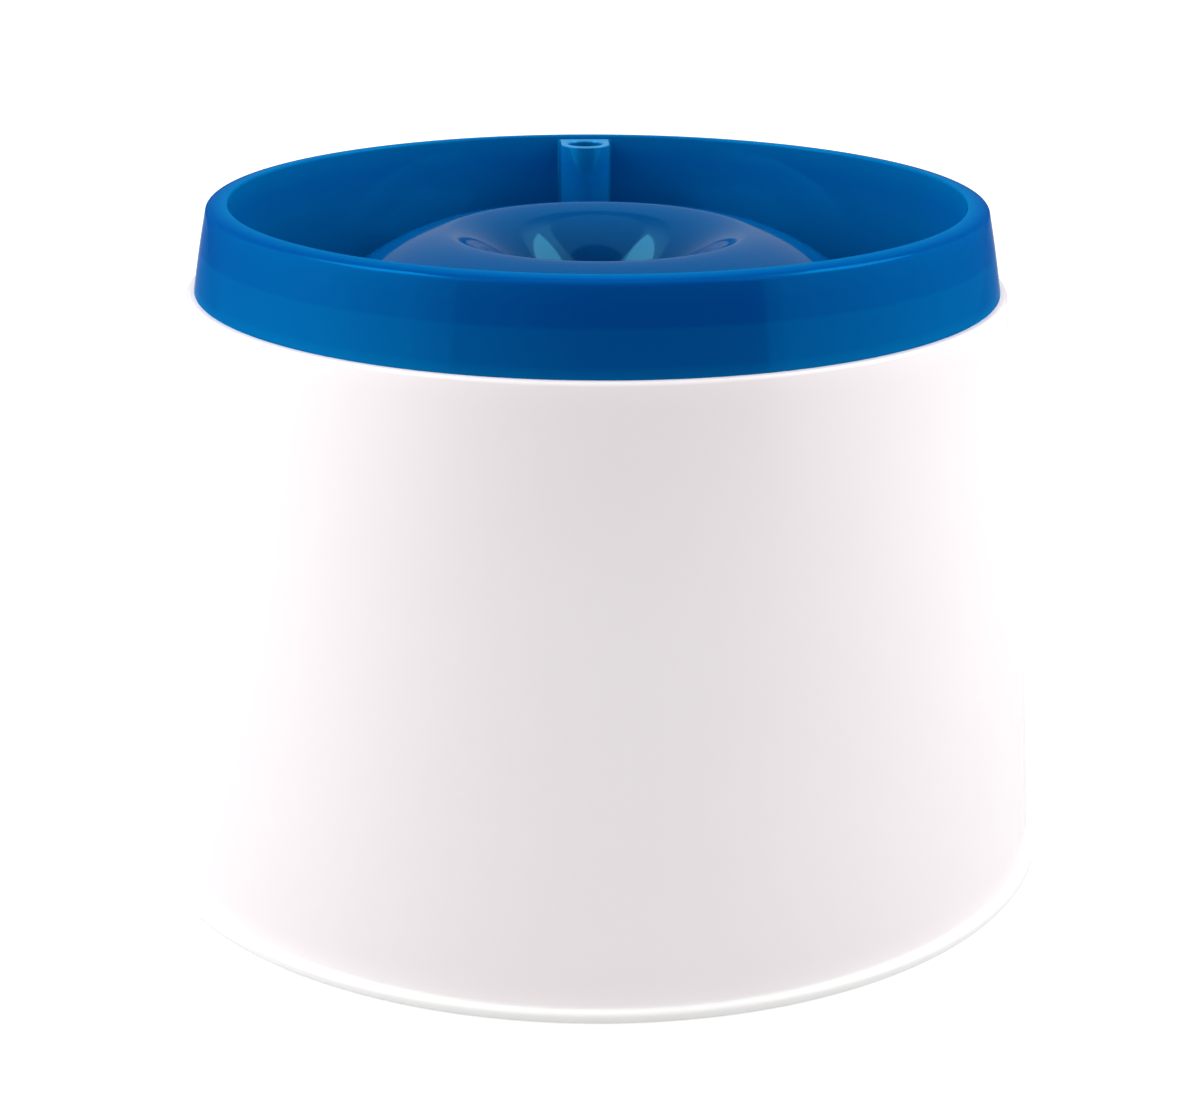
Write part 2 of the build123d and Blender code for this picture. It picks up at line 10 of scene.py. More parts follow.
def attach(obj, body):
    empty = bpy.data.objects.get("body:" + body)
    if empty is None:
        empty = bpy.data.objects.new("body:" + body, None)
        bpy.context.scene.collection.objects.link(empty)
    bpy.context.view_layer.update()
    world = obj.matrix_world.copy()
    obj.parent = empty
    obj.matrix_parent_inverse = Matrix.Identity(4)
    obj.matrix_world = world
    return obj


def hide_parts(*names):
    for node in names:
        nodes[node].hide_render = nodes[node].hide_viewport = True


mm = 0.001

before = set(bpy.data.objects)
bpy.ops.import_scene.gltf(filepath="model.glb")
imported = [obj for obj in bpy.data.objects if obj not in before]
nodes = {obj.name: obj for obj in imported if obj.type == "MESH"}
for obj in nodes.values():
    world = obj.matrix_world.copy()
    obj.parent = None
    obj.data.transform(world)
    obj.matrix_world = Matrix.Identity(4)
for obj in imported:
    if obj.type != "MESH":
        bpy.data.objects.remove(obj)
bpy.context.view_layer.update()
print("frame loaded:", len(nodes), "nodes")


# Materials

def paint(hexText):
    # sRGB hex to the linear colour that a shader takes
    channels = [int(hexText[i:i + 2], 16) / 255 for i in (0, 2, 4)]
    return [c / 12.92 if c <= 0.04045 else ((c + 0.055) / 1.055) ** 2.4 for c in channels] + [1.0]


def addNode(material, kind, sockets=None, **settings):
    node = material.node_tree.nodes.new("ShaderNode" + kind)
    for name, value in settings.items():
        setattr(node, name, value)
    for name, value in (sockets or {}).items():
        if isinstance(value, bpy.types.NodeSocket):
            material.node_tree.links.new(value, node.inputs[name])
        else:
            node.inputs[name].default_value = value
    return node


def newMaterial(name, sockets):
    material = bpy.data.materials.new(name)
    material.use_nodes = True
    shader = material.node_tree.nodes["Principled BSDF"]
    for socket, value in sockets.items():
        shader.inputs[socket].default_value = value
    return material, shader


def join(material, output, shader, socket):
    material.node_tree.links.new(output, shader.inputs[socket])


def addGrain(material, shader, grainSize, height, roughLow, roughHigh):
    # noise at a real grain size in mm: it lifts the surface a little and varies its gloss
    place = addNode(material, "TexCoord").outputs["Object"]
    grain = addNode(material, "TexNoise", {"Vector": place, "Scale": 1 / (grainSize * mm), "Detail": 3.0})
    bump = addNode(material, "Bump", {"Height": grain.outputs[0], "Strength": 1.0, "Distance": height * mm})
    gloss = addNode(material, "MapRange", {"Value": grain.outputs[0], "From Min": 0.3, "From Max": 0.7,
                                           "To Min": roughLow, "To Max": roughHigh})
    join(material, bump.outputs[0], shader, "Normal")
    join(material, gloss.outputs[0], shader, "Roughness")
    return place, grain


def addTint(material, shader, place, patchSize, firstHex, secondHex):
    # slow change of colour over a piece, as moulded and cast plastics have
    patch = addNode(material, "TexNoise", {"Vector": place, "Scale": 1 / (patchSize * mm), "Detail": 1.0})
    mix = addNode(material, "Mix", {0: patch.outputs[0], 6: paint(firstHex), 7: paint(secondHex)},
                  data_type="RGBA")
    join(material, mix.outputs[2], shader, "Base Color")


def fillRamp(ramp, stops):
    # each stop is a place from 0 to 1 and a colour
    elements = ramp.color_ramp.elements
    while len(elements) < len(stops):
        elements.new(0.5)
    for element, (place, colour) in zip(elements, stops):
        element.position = place
        element.color = colour


def tonesAlong(material, value, span, stops):
    # colours by a value that runs over a span; each stop is a value and a hex colour
    low, high = span
    share = addNode(material, "MapRange", {"Value": value, "From Min": low, "From Max": high})
    ramp = addNode(material, "ValToRGB", {"Fac": share.outputs[0]})
    fillRamp(ramp, [((at - low) / (high - low), paint(hexText)) for at, hexText in stops])
    return ramp.outputs[0]


def heightAndRadius(material, place):
    # a point's height over the floor, and its distance from the upright axis
    height = addNode(material, "SeparateXYZ", {0: place}).outputs[2]
    flat = addNode(material, "Mapping", {"Vector": place, "Scale": (1, 1, 0)})
    radius = addNode(material, "VectorMath", {0: flat.outputs[0]}, operation="LENGTH").outputs["Value"]
    return height, radius


# heights and radii in the looks are in metres, as the shader has them; grain and patch sizes are in mm
standLook = {
    "index": 1.49, "cloudy": 0.12, "cloudDepth": 4, "cloudRadius": (1.0, 0.95, 0.9),
    "grainSize": 9, "grainHeight": 0.004, "roughness": (0.16, 0.2),
    # the flange tone and its fade are a painted highlight: the stand is painted whiter below 3.5 mm
    "patchSize": 60, "wallTones": ("FAF2F4", "FCF5F7"), "flangeHighlightTone": "FFFEFD", "flangeHighlightFade": (0.0045, 0.0035),
}


def whitePolypropylene():
    # injection-moulded white PP: milky and glossy, with a soft sheen that hides the mould's polish
    look = standLook
    material, shader = newMaterial("whitePolypropylene", {
        "IOR": look["index"], "Subsurface Weight": look["cloudy"], "Subsurface Scale": look["cloudDepth"] * mm,
        "Subsurface Radius": look["cloudRadius"]})
    place, _ = addGrain(material, shader, look["grainSize"], look["grainHeight"], *look["roughness"])
    patch = addNode(material, "TexNoise", {"Vector": place, "Scale": 1 / (look["patchSize"] * mm), "Detail": 1.0})
    first, second = look["wallTones"]
    wall = addNode(material, "Mix", {0: patch.outputs[0], 6: paint(first), 7: paint(second)}, data_type="RGBA")
    # the flange is painted a cleaner white: a painted highlight for the light its top catches from above
    height = addNode(material, "SeparateXYZ", {0: place}).outputs[2]
    above, below = look["flangeHighlightFade"]
    flange = addNode(material, "MapRange", {"Value": height, "From Min": above, "From Max": below})
    tone = addNode(material, "Mix", {0: flange.outputs[0], 6: wall.outputs[2], 7: paint(look["flangeHighlightTone"])},
                   data_type="RGBA")
    join(material, tone.outputs[2], shader, "Base Color")
    return material


blueLook = {"cloudy": 0.2, "cloudDepth": 3, "cloudRadius": (0.2, 0.7, 1.0), "grainSize": 14, "grainHeight": 0.003}


def bluePolypropylene(name, look):
    # tinted PP, moulded in a polished tool: deep blue under a hard gloss. The dye colours the gloss as
    # well, so the index is set under the plastic's own, which keeps white glare off the edges, and the
    # tint over one, which gives the gloss its strength back
    material, shader = newMaterial(name, {
        "IOR": look["index"], "Specular Tint": (*look["glossTint"], 1.0), "Subsurface Weight": blueLook["cloudy"],
        "Subsurface Scale": blueLook["cloudDepth"] * mm, "Subsurface Radius": blueLook["cloudRadius"]})
    place, _ = addGrain(material, shader, blueLook["grainSize"], blueLook["grainHeight"], *look["roughness"])
    return material, shader, place


bowlLook = {
    "roughness": (0.014, 0.026), "index": 1.01, "glossTint": (9.5, 1818.0, 3744.0),
    # wall tones: a painted glow near the rim, fading to painted shade lower down the basin
    "wallPaintedGlowSpan": (0.14, 0.194), "wallTones": [
        (0.15, "013C70"), (0.165, "01508C"), (0.178, "015898"), (0.186, "01589C"), (0.1925, "0164A2")],
    # skirt tones: painted light, lighter below the collar line and just under the rim
    "skirtPaintedLightSpan": (0.168, 0.194), "skirtPaintedLight": [
        (0.1685, "025F9C"), (0.172, "014D91"), (0.1808, "014B90"), (0.1818, "01438C"), (0.1865, "01438C"),
        (0.191, "014790")],
    "skirtFade": (0.1056, 0.1105),
    "pipeEndTone": "4488B8", "pipeEndHeight": (0.1918, 0.1921), "pipeEndRadius": (0.105, 0.1045),
    "patchSize": 45, "patchShade": (0.94, 1.06),
}


def blueBowl():
    # the basin's thin wall is painted with light: a painted glow at the rim that turns to painted shade
    # downwards; the skirt is painted deeper, and a shade greener and lighter below the line where the stand's
    # white collar lies behind it, painted light for the collar showing through, with a painted glow under the rim
    # and a lighter lower edge
    look = bowlLook
    material, shader, place = bluePolypropylene("bluePolypropyleneBowl", look)
    height, radius = heightAndRadius(material, place)
    wall = tonesAlong(material, height, look["wallPaintedGlowSpan"], look["wallTones"])
    skirt = tonesAlong(material, height, look["skirtPaintedLightSpan"], look["skirtPaintedLight"])
    inward, outward = look["skirtFade"]
    outside = addNode(material, "MapRange", {"Value": radius, "From Min": inward, "From Max": outward})
    shell = addNode(material, "Mix", {0: outside.outputs[0], 6: wall, 7: skirt}, data_type="RGBA")
    # the standpipe's flat end at the top is given a paler blue
    low, high = look["pipeEndHeight"]
    top = addNode(material, "MapRange", {"Value": height, "From Min": low, "From Max": high})
    far, near = look["pipeEndRadius"]
    inner = addNode(material, "MapRange", {"Value": radius, "From Min": far, "From Max": near})
    cut = addNode(material, "Math", {0: top.outputs[0], 1: inner.outputs[0]}, operation="MULTIPLY")
    tone = addNode(material, "Mix", {0: cut.outputs[0], 6: shell.outputs[2], 7: paint(look["pipeEndTone"])},
                   data_type="RGBA")
    patch = addNode(material, "TexNoise", {"Vector": place, "Scale": 1 / (look["patchSize"] * mm), "Detail": 1.0})
    dark, light = look["patchShade"]
    shade = addNode(material, "MapRange", {"Value": patch.outputs[0], "To Min": dark, "To Max": light})
    cloudy = addNode(material, "Mix", {0: 1.0, 6: tone.outputs[2], 7: shade.outputs[0]},
                     data_type="RGBA", blend_type="MULTIPLY")
    join(material, cloudy.outputs[2], shader, "Base Color")
    return material


domeLook = {
    "roughness": (0.06, 0.09), "index": 1.1, "glossTint": (4.4, 23.0, 32.0), "outsideTone": "014682",
    # funnel colours: painted shade, darker down the funnel towards the hole
    "funnelPaintedShadeSpan": (0.152, 0.184), "funnelPaintedShade": [
        (0.152, "011F47"), (0.164, "012753"), (0.173, "01366C"), (0.183, "014682")],
    "funnelFade": (0.036, 0.043),
}


def blueDome():
    # the same dyed PP from a less polished tool, so its reflections are a little softer; it is painted darker
    # down the funnel, a painted shade for the deep recess
    look = domeLook
    material, shader, place = bluePolypropylene("bluePolypropyleneDome", look)
    height, radius = heightAndRadius(material, place)
    funnel = tonesAlong(material, height, look["funnelPaintedShadeSpan"], look["funnelPaintedShade"])
    inward, outward = look["funnelFade"]
    outside = addNode(material, "MapRange", {"Value": radius, "From Min": inward, "From Max": outward})
    tone = addNode(material, "Mix", {0: outside.outputs[0], 6: funnel, 7: paint(look["outsideTone"])},
                   data_type="RGBA")
    join(material, tone.outputs[2], shader, "Base Color")
    return material


blueBowlPlastic = blueBowl()
blueDomePlastic = blueDome()
whitePlastic = whitePolypropylene()
print("shell materials made")


# Shapes

def smooth(mesh, angle):
    # rounded faces shade as one, and edges sharper than the angle in degrees stay crisp
    mesh.shade_smooth()
    mesh.set_sharp_from_angle(angle=radians(angle))


def pieceFrom(name, bm, material, angle=30):
    mesh = bpy.data.meshes.new(name)
    bm.to_mesh(mesh)
    bm.free()
    mesh.materials.append(material)
    smooth(mesh, angle)
    piece = bpy.data.objects.new(name, mesh)
    bpy.context.scene.collection.objects.link(piece)
    return piece


shellSteps = 240  # facets round each shell


def turned(points, steps=shellSteps, closed=True, centre=(0, 0)):
    # a section of (radius, height, cut) in mm, each cut rounding that corner, spun a full turn
    bm = bmesh.new()
    corners = [bm.verts.new((point[0] * mm, 0, point[1] * mm)) for point in points]
    for first, second in zip(corners, corners[1:] + corners[:1] if closed else corners[1:]):
        bm.edges.new((first, second))
    for corner, point in zip(corners, points):
        if len(point) > 2:
            bmesh.ops.bevel(bm, geom=[corner], offset=point[2] * mm, offset_type="OFFSET", segments=5,
                            profile=0.5, affect="VERTICES", material=-1)
    bmesh.ops.spin(bm, geom=bm.verts[:] + bm.edges[:], cent=(0, 0, 0), axis=(0, 0, 1), angle=2 * pi,
                   steps=steps, use_merge=True)
    bmesh.ops.remove_doubles(bm, verts=bm.verts, dist=1e-6)
    bmesh.ops.recalc_face_normals(bm, faces=bm.faces)
    bmesh.ops.translate(bm, verts=bm.verts, vec=(centre[0] * mm, centre[1] * mm, 0))
    return bm


def archPrism(bm, half, topZ, bottomZ, nearY, farY, turn=0.0):
    # an upright slot with round ends: a circle whose lower half is moved down, pushed out along +Y
    made = bmesh.ops.create_circle(bm, cap_ends=True, segments=48, radius=half * mm)
    verts = made["verts"]
    bmesh.ops.rotate(bm, verts=verts, cent=(0, 0, 0), matrix=Matrix.Rotation(pi / 2, 3, "X"))
    bmesh.ops.translate(bm, verts=verts, vec=(0, nearY * mm, (topZ - half) * mm))
    lower = [v for v in verts if v.co.z < (topZ - half) * mm - 1e-7]
    bmesh.ops.translate(bm, verts=lower, vec=(0, 0, (bottomZ - topZ + half) * mm))
    face = verts[0].link_faces[0]
    pushed = bmesh.ops.extrude_face_region(bm, geom=[face], use_keep_orig=True)["geom"]
    moved = [g for g in pushed if isinstance(g, bmesh.types.BMVert)]
    bmesh.ops.translate(bm, verts=moved, vec=(0, (farY - nearY) * mm, 0))
    bmesh.ops.rotate(bm, verts=verts + moved, cent=(0, 0, 0), matrix=Matrix.Rotation(radians(turn), 3, "Z"))


def carve(piece, bm, operation):
    # joins or cuts a shape with the exact solver, then drops the cutter
    bmesh.ops.recalc_face_normals(bm, faces=bm.faces)
    cutter = pieceFrom("cutter", bm, piece.data.materials[0])
    modifier = piece.modifiers.new("carve", "BOOLEAN")
    modifier.object = cutter
    modifier.operation = operation
    modifier.solver = "EXACT"
    depsgraph = bpy.context.evaluated_depsgraph_get()
    mesh = bpy.data.meshes.new_from_object(piece.evaluated_get(depsgraph))
    piece.modifiers.clear()
    piece.data = mesh
    bpy.data.objects.remove(cutter)
    smooth(mesh, 30)


def settle(piece, body, slot, *replaced):
    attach(piece, body)
    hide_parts(*replaced)


# Stand

stand = {
    "flangeRadius": 135.0, "flangeZ": 0.5, "flangeTop": 3.5, "flangeRound": 1.3, "flangeUnderRound": 0.3,
    "footRadius": 132.7, "footBend": 0.5, "shoulderRadius": 118.0, "bulge": 1.1, "shoulderZ": 168.8,
    "shoulderRound": 1.3, "shoulderEdge": 1.1, "wall": 2.6, "collarRadius": 110.62, "collarWall": 2.2,
    "collarTop": 182.3, "collarBend": 0.4, "collarRound": 0.5, "innerBend": 0.6, "sideSteps": 24,
    "ribs": 8, "ribDepth": 6.0, "ribHalf": 1.0, "ribLift": 0.4,
    "feet": 4, "footRing": 122.6, "tabRadius": 8.3, "pocketRadius": 6.15, "pocketTop": 1.75,
    "notchHalf": 8.0, "notchHeight": 14.0, "notchBottom": -6.0, "notchReach": (110, 142), "cutterSpare": 1.0,
}


def standSide(inset, lowZ, highZ):
    # points up the stand's swelling side, moved in by a distance; the bulge is widest halfway up
    bottom, top = stand["flangeTop"], stand["shoulderZ"] - stand["shoulderRound"]
    points = []
    for i in range(stand["sideSteps"] + 1):
        z = lowZ + (highZ - lowZ) * i / stand["sideSteps"]
        share = (z - bottom) / (top - bottom)
        straight = stand["footRadius"] + (stand["shoulderRadius"] - stand["footRadius"]) * share
        points.append((straight + 4 * stand["bulge"] * share * (1 - share) - inset, z))
    return points


def makeStand():
    s = stand
    outside = standSide(0, s["flangeTop"], s["shoulderZ"])
    inside = standSide(s["wall"], s["flangeZ"], s["shoulderZ"] - s["wall"])
    outside[0] += (s["footBend"],)
    outside[-1] += (s["shoulderEdge"],)
    inner = s["collarRadius"] - s["collarWall"]
    section = [(s["flangeRadius"], s["flangeZ"], s["flangeUnderRound"]),
               (s["flangeRadius"], s["flangeTop"], s["flangeRound"])]
    section += outside
    section += [(s["collarRadius"], s["shoulderZ"], s["collarBend"]),
                (s["collarRadius"], s["collarTop"], s["collarRound"]),
                (inner, s["collarTop"], s["collarRound"]), (inner, inside[-1][1], s["innerBend"])]
    section += inside[::-1]
    piece = pieceFrom("standShell", turned(section), whitePlastic)

    ribs = bmesh.new()
    low, high = s["flangeZ"] + s["ribLift"], s["shoulderZ"] - s["wall"] / 2
    for i in range(s["ribs"]):
        edge = standSide(s["wall"] / 2, low, high) + standSide(s["wall"] + s["ribDepth"], low, high)[::-1]
        face = ribs.faces.new([ribs.verts.new((r * mm, -s["ribHalf"] * mm, z * mm)) for r, z in edge])
        pushed = bmesh.ops.extrude_face_region(ribs, geom=[face], use_keep_orig=True)["geom"]
        moved = [g for g in pushed if isinstance(g, bmesh.types.BMVert)]
        bmesh.ops.translate(ribs, verts=moved, vec=(0, 2 * s["ribHalf"] * mm, 0))
        bmesh.ops.rotate(ribs, verts=face.verts[:] + moved, cent=(0, 0, 0),
                         matrix=Matrix.Rotation(2 * pi / s["ribs"] * (i + 0.5), 3, "Z"))
    carve(piece, ribs, "UNION")

    # a round tab inside the flange for each rubber foot, and the pocket that the foot sits in
    tabs = bmesh.new()
    pockets = bmesh.new()
    for i in range(s["feet"]):
        turn = Matrix.Rotation(2 * pi / s["feet"] * (i + 0.5), 3, "Z")
        for bm, radius, low, high in ((tabs, s["tabRadius"], s["flangeZ"], s["flangeTop"]),
                                      (pockets, s["pocketRadius"], -s["cutterSpare"], s["pocketTop"])):
            made = bmesh.ops.create_cone(bm, cap_ends=True, segments=48, radius1=radius * mm, radius2=radius * mm,
                                         depth=(high - low) * mm)
            middle = turn @ Vector((s["footRing"], 0, 0))
            middle.z = (low + high) / 2
            bmesh.ops.translate(bm, verts=made["verts"], vec=middle * mm)
    carve(piece, tabs, "UNION")
    carve(piece, pockets, "DIFFERENCE")

    notch = bmesh.new()
    archPrism(notch, s["notchHalf"], s["notchHeight"], s["notchBottom"], *s["notchReach"])
    carve(piece, notch, "DIFFERENCE")
    settle(piece, "stand", "white_shell", "stand_shell")


makeStand()
print("stand made")


# Bowl

bowl = {
    "lipRadius": 115.9, "lipZ": 168.8, "lipRound": 0.25, "edgeRadius": 111.8, "edgeZ": 191.5, "topLean": 11.8,
    "rimInner": 105.47, "rimZ": 193.5, "rimRound": 0.6, "wallTop": 192.5, "crownPull": 3.8, "edgePull": 1.5,
    "skirtWall": 2.45, "basinWall": 2.4, "hollowRound": 0.3, "draft": 3.0,
    "floorZ": 108.5, "floorCorner": 10.0, "underBevel": 8.0, "underRound": 3.0,
    "footRing": 70.0, "footRingHeight": 3.0, "ringBend": 0.4, "ringRound": 0.6,
    "arcSteps": 16, "crownSteps": 16,
}
# the standpipe: a pillar on the basin's back wall with a bore down through the floor
pillar = {
    "bore": 5.5, "boreFrom": 100, "boreChamfer": 0.6, "radius": 7.8, "axisY": 96.87, "topZ": 192.3,
    "topRound": 0.5, "flare": 1.2, "sink": 1.2, "steps": 8,
    "footZ": 107.3, "footReach": 95.3, "fullZ": 115.0, "squeeze": 0.15, "cutterSpare": 0.2, "cutterTop": 4,
}


def tangentArc(start, lean, end, steps):
    # arc from a point, leaving it in the lean's direction, to an end point
    heading = Vector((tan(radians(lean)), -1)).normalized()
    chord = Vector(end) - Vector(start)
    side = Vector((heading.y, -heading.x))
    if side.dot(chord) < 0:
        side = -side
    radius = chord.length_squared / (2 * side.dot(chord))
    middle = Vector(start) + side * radius
    first, last = Vector(start) - middle, Vector(end) - middle
    sweep = first.angle_signed(last)
    points = []
    for i in range(steps + 1):
        spoke = first.copy()
        spoke.rotate(Matrix.Rotation(-sweep * i / steps, 2))
        points.append(tuple(middle + spoke))
    return points


def basinRadius(z):
    return bowl["rimInner"] - (bowl["rimZ"] - z) * tan(radians(bowl["draft"]))


def pillarLoop(bm, z, reach=None):
    # plan of the standpipe's pillar: round front, straight sides, and flares that meet the basin's wall;
    # a reach pulls the deep points in to that radius
    wall, r, flare, y0 = basinRadius(z), pillar["radius"], pillar["flare"], pillar["axisY"]
    front = [(r * sin(pi / 2 * i / pillar["steps"]), y0 - r * cos(pi / 2 * i / pillar["steps"]))
             for i in range(pillar["steps"] + 1)]
    flareX = r + flare
    flareY = sqrt((wall - flare) ** 2 - flareX ** 2)
    meet = Vector((flareX, flareY)) * wall / (wall - flare) - Vector((flareX, flareY))
    last = Vector((-1, 0)).angle_signed(meet)
    side = []
    for i in range(pillar["steps"] + 1):
        turn = last * i / pillar["steps"]
        side.append((flareX - flare * cos(turn), flareY + flare * abs(sin(turn))))
    deep = Vector(side[-1]) * (wall + pillar["sink"]) / wall
    half = front + side + [tuple(deep)]
    if reach:
        sizes = [min(1.0, (reach - pillar["squeeze"] * (deep.length - Vector(p).length)) / Vector(p).length)
                 for p in half]
        half = [(x * size, y * size) for (x, y), size in zip(half, sizes)]
    whole = half + [(-x, y) for x, y in reversed(half) if x > 1e-9]
    verts = [bm.verts.new((x * mm, y * mm, z * mm)) for x, y in whole]
    return [bm.edges.new(pair) for pair in zip(verts, verts[1:] + verts[:1])]


def bowlSection():
    # from the middle of the basin's floor over the rim, round the skirt, and back under the floor
    b = bowl
    crown = [tuple(p) for p in interpolate_bezier(
        (b["rimInner"], b["rimZ"]), (b["rimInner"] + b["crownPull"], b["rimZ"]),
        (b["edgeRadius"] - b["edgePull"] * sin(radians(b["topLean"])),
         b["edgeZ"] + b["edgePull"] * cos(radians(b["topLean"]))),
        (b["edgeRadius"], b["edgeZ"]), b["crownSteps"])]
    skirt = tangentArc((b["edgeRadius"], b["edgeZ"]), b["topLean"], (b["lipRadius"], b["lipZ"]), b["arcSteps"])
    under = b["floorZ"] - b["basinWall"]
    bevelZ = under + b["underBevel"]
    ring, ringZ = b["footRing"], under - b["footRingHeight"]
    section = [(0, b["floorZ"]), (basinRadius(b["floorZ"]), b["floorZ"], b["floorCorner"])]
    section += [(basinRadius(b["wallTop"]), b["wallTop"]), (crown[0][0], crown[0][1], b["rimRound"])]
    section += crown[1:] + skirt[1:-1]
    section += [(*skirt[-1], b["lipRound"]), (skirt[-1][0] - b["skirtWall"], b["lipZ"], b["hollowRound"])]
    section += [(r - b["skirtWall"], z) for r, z in skirt[-2:0:-1]]
    section += [(b["edgeRadius"] - b["skirtWall"], b["edgeZ"], b["hollowRound"]),
                (basinRadius(b["edgeZ"]) + b["basinWall"], b["edgeZ"], b["hollowRound"]),
                (basinRadius(bevelZ) + b["basinWall"], bevelZ, b["underRound"]),
                (basinRadius(under) + b["basinWall"] - b["underBevel"], under, b["underRound"]),
                (ring, under, b["ringBend"]), (ring, ringZ, b["ringRound"]),
                (ring - b["basinWall"], ringZ, b["ringRound"]), (ring - b["basinWall"], under, b["ringBend"]),
                (0, under)]
    return section


def makeBowl():
    piece = pieceFrom("bowlShell", turned(bowlSection(), closed=False), blueBowlPlastic)

    post = bmesh.new()
    foot = pillarLoop(post, pillar["footZ"], pillar["footReach"])
    waist = pillarLoop(post, pillar["fullZ"])
    bmesh.ops.bridge_loops(post, edges=foot + waist)
    bmesh.ops.bridge_loops(post, edges=waist + pillarLoop(post, pillar["topZ"]))
    bmesh.ops.holes_fill(post, edges=post.edges[:], sides=0)
    topEdges = [e for e in post.edges if all(v.co.z > (pillar["topZ"] - 0.01) * mm for v in e.verts)
                and len(e.link_faces) == 2]
    bmesh.ops.bevel(post, geom=topEdges, offset=pillar["topRound"] * mm, offset_type="OFFSET", segments=3,
                    profile=0.5, affect="EDGES", material=-1)
    carve(piece, post, "UNION")

    r, topZ, chamfer, spare = pillar["bore"], pillar["topZ"], pillar["boreChamfer"], pillar["cutterSpare"]
    wide, clear = r + chamfer + spare, topZ + pillar["cutterTop"]
    bore = turned([(0, pillar["boreFrom"]), (r, pillar["boreFrom"]), (r, topZ - chamfer), (wide, topZ + spare),
                   (wide, clear), (0, clear)], steps=64, closed=False, centre=(0, pillar["axisY"]))
    carve(piece, bore, "DIFFERENCE")
    settle(piece, "bowl", "blue_bowl", "bowl")


makeBowl()
print("bowl made")


# Dome

dome = {
    "crestRadius": 43.2, "crestZ": 183.3, "reach": 64.4, "slopeDrop": 75.7, "slopePower": 1.66,
    "holeRadius": 9.0, "funnelDepth": 30.5, "funnelSlope": 0.12, "funnelCurve": 0.0229, "spigotZ": 149.3,
    "skirtRadius": 87.87, "floorZ": 108.5, "wall": 2.2, "skin": 2.9, "edgeRound": 0.4, "steps": 40,
    "arches": 12, "archHalf": 13.0, "archHeight": 24.0, "cutterBelow": 4, "cutterInward": 20, "cutterOutward": 6,
}


def funnelSide(end, lowered=0.0):
    # the inner side of the ring: it leaves the crest at a shallow slope and steepens towards the hole
    points = []
    for i in range(dome["steps"] + 1):
        run = (dome["crestRadius"] - end) * i / dome["steps"]
        fall = min(dome["funnelSlope"] * run + dome["funnelCurve"] * run ** 2, dome["funnelDepth"])
        points.append((dome["crestRadius"] - run, dome["crestZ"] - fall - lowered))
    return points


def domeSide(end, lowered=0.0):
    # the outer side of the ring: a superellipse quarter from the crest out to a radius
    power = dome["slopePower"]
    lastTurn = asin(min(1.0, ((end - dome["crestRadius"]) / dome["reach"]) ** (power / 2)))
    points = []
    for i in range(dome["steps"] + 1):
        turn = lastTurn * i / dome["steps"]
        points.append((dome["crestRadius"] + dome["reach"] * sin(turn) ** (2 / power),
                       dome["crestZ"] - dome["slopeDrop"] * (1 - cos(turn) ** (2 / power)) - lowered))
    return points


def makeDome():
    d = dome
    innerHole, innerSkirt = d["holeRadius"] + d["wall"], d["skirtRadius"] - d["wall"]
    section = funnelSide(d["holeRadius"])[::-1] + domeSide(d["skirtRadius"])[1:]
    section += [(d["skirtRadius"], d["floorZ"], d["edgeRound"]), (innerSkirt, d["floorZ"], d["edgeRound"])]
    section += domeSide(innerSkirt, d["skin"])[::-1] + funnelSide(innerHole, d["skin"])[1:]
    section += [(innerHole, d["spigotZ"], d["edgeRound"]), (d["holeRadius"], d["spigotZ"], d["edgeRound"])]
    piece = pieceFrom("domeShell", turned(section), blueDomePlastic)
    arches = bmesh.new()
    for i in range(d["arches"]):
        archPrism(arches, d["archHalf"], d["floorZ"] + d["archHeight"], d["floorZ"] - d["cutterBelow"],
                  innerSkirt - d["cutterInward"], d["skirtRadius"] + d["cutterOutward"],
                  360 / d["arches"] * (i + 0.5) - 90)
    carve(piece, arches, "DIFFERENCE")
    settle(piece, "dome", "blue_dome", "dome")


makeDome()
print("dome made")


# Feet under the stand, and what lies under the dome

def mouldedRubber(name, hexText, roughness):
    # rubber from a blasted mould: dull, with a fine even tooth
    material, shader = newMaterial(name, {"IOR": 1.52, "Subsurface Weight": 0.05, "Subsurface Scale": 1 * mm})
    _, grain = addGrain(material, shader, 0.8, 0.02, roughness - 0.06, roughness + 0.06)
    shade = addNode(material, "MapRange", {"Value": grain.outputs[0], "To Min": 0.85, "To Max": 1.15})
    tone = addNode(material, "Mix", {0: 1.0, 6: paint(hexText), 7: shade.outputs[0]},
                   data_type="RGBA", blend_type="MULTIPLY")
    join(material, tone.outputs[2], shader, "Base Color")
    return material


def mouldedPlastic(name, firstHex, secondHex, roughness, cloudy=0.0):
    # moulded ABS or PP with a spark-eroded texture: a fine satin tooth that breaks the highlights up
    material, shader = newMaterial(name, {"IOR": 1.52, "Subsurface Weight": cloudy, "Subsurface Scale": 2 * mm})
    place, _ = addGrain(material, shader, 0.5, 0.012, roughness - 0.05, roughness + 0.05)
    addTint(material, shader, place, 18, firstHex, secondHex)
    return material


def openCellFoam():
    # reticulated polyester foam: a bright net of struts round open cells painted darker, a painted shade for the
    # holes, drawn at 1.6 mm so it shows
    material, shader = newMaterial("openCellFoam", {"IOR": 1.45, "Roughness": 0.9, "Sheen Weight": 0.3})
    place = addNode(material, "TexCoord").outputs["Object"]
    cells = addNode(material, "TexVoronoi", {"Vector": place, "Scale": 1 / (1.6 * mm)},
                    feature="DISTANCE_TO_EDGE")
    depth = addNode(material, "MapRange", {"Value": cells.outputs[0], "From Max": 0.3,
                                           "To Min": 1.0, "To Max": 0.0})
    tone = addNode(material, "Mix", {0: depth.outputs[0], 6: paint("8D979F"), 7: paint("F1F4F5")},
                   data_type="RGBA")
    bump = addNode(material, "Bump", {"Height": depth.outputs[0], "Strength": 1.0, "Distance": 0.5 * mm})
    join(material, tone.outputs[2], shader, "Base Color")
    join(material, bump.outputs[0], shader, "Normal")
    return material


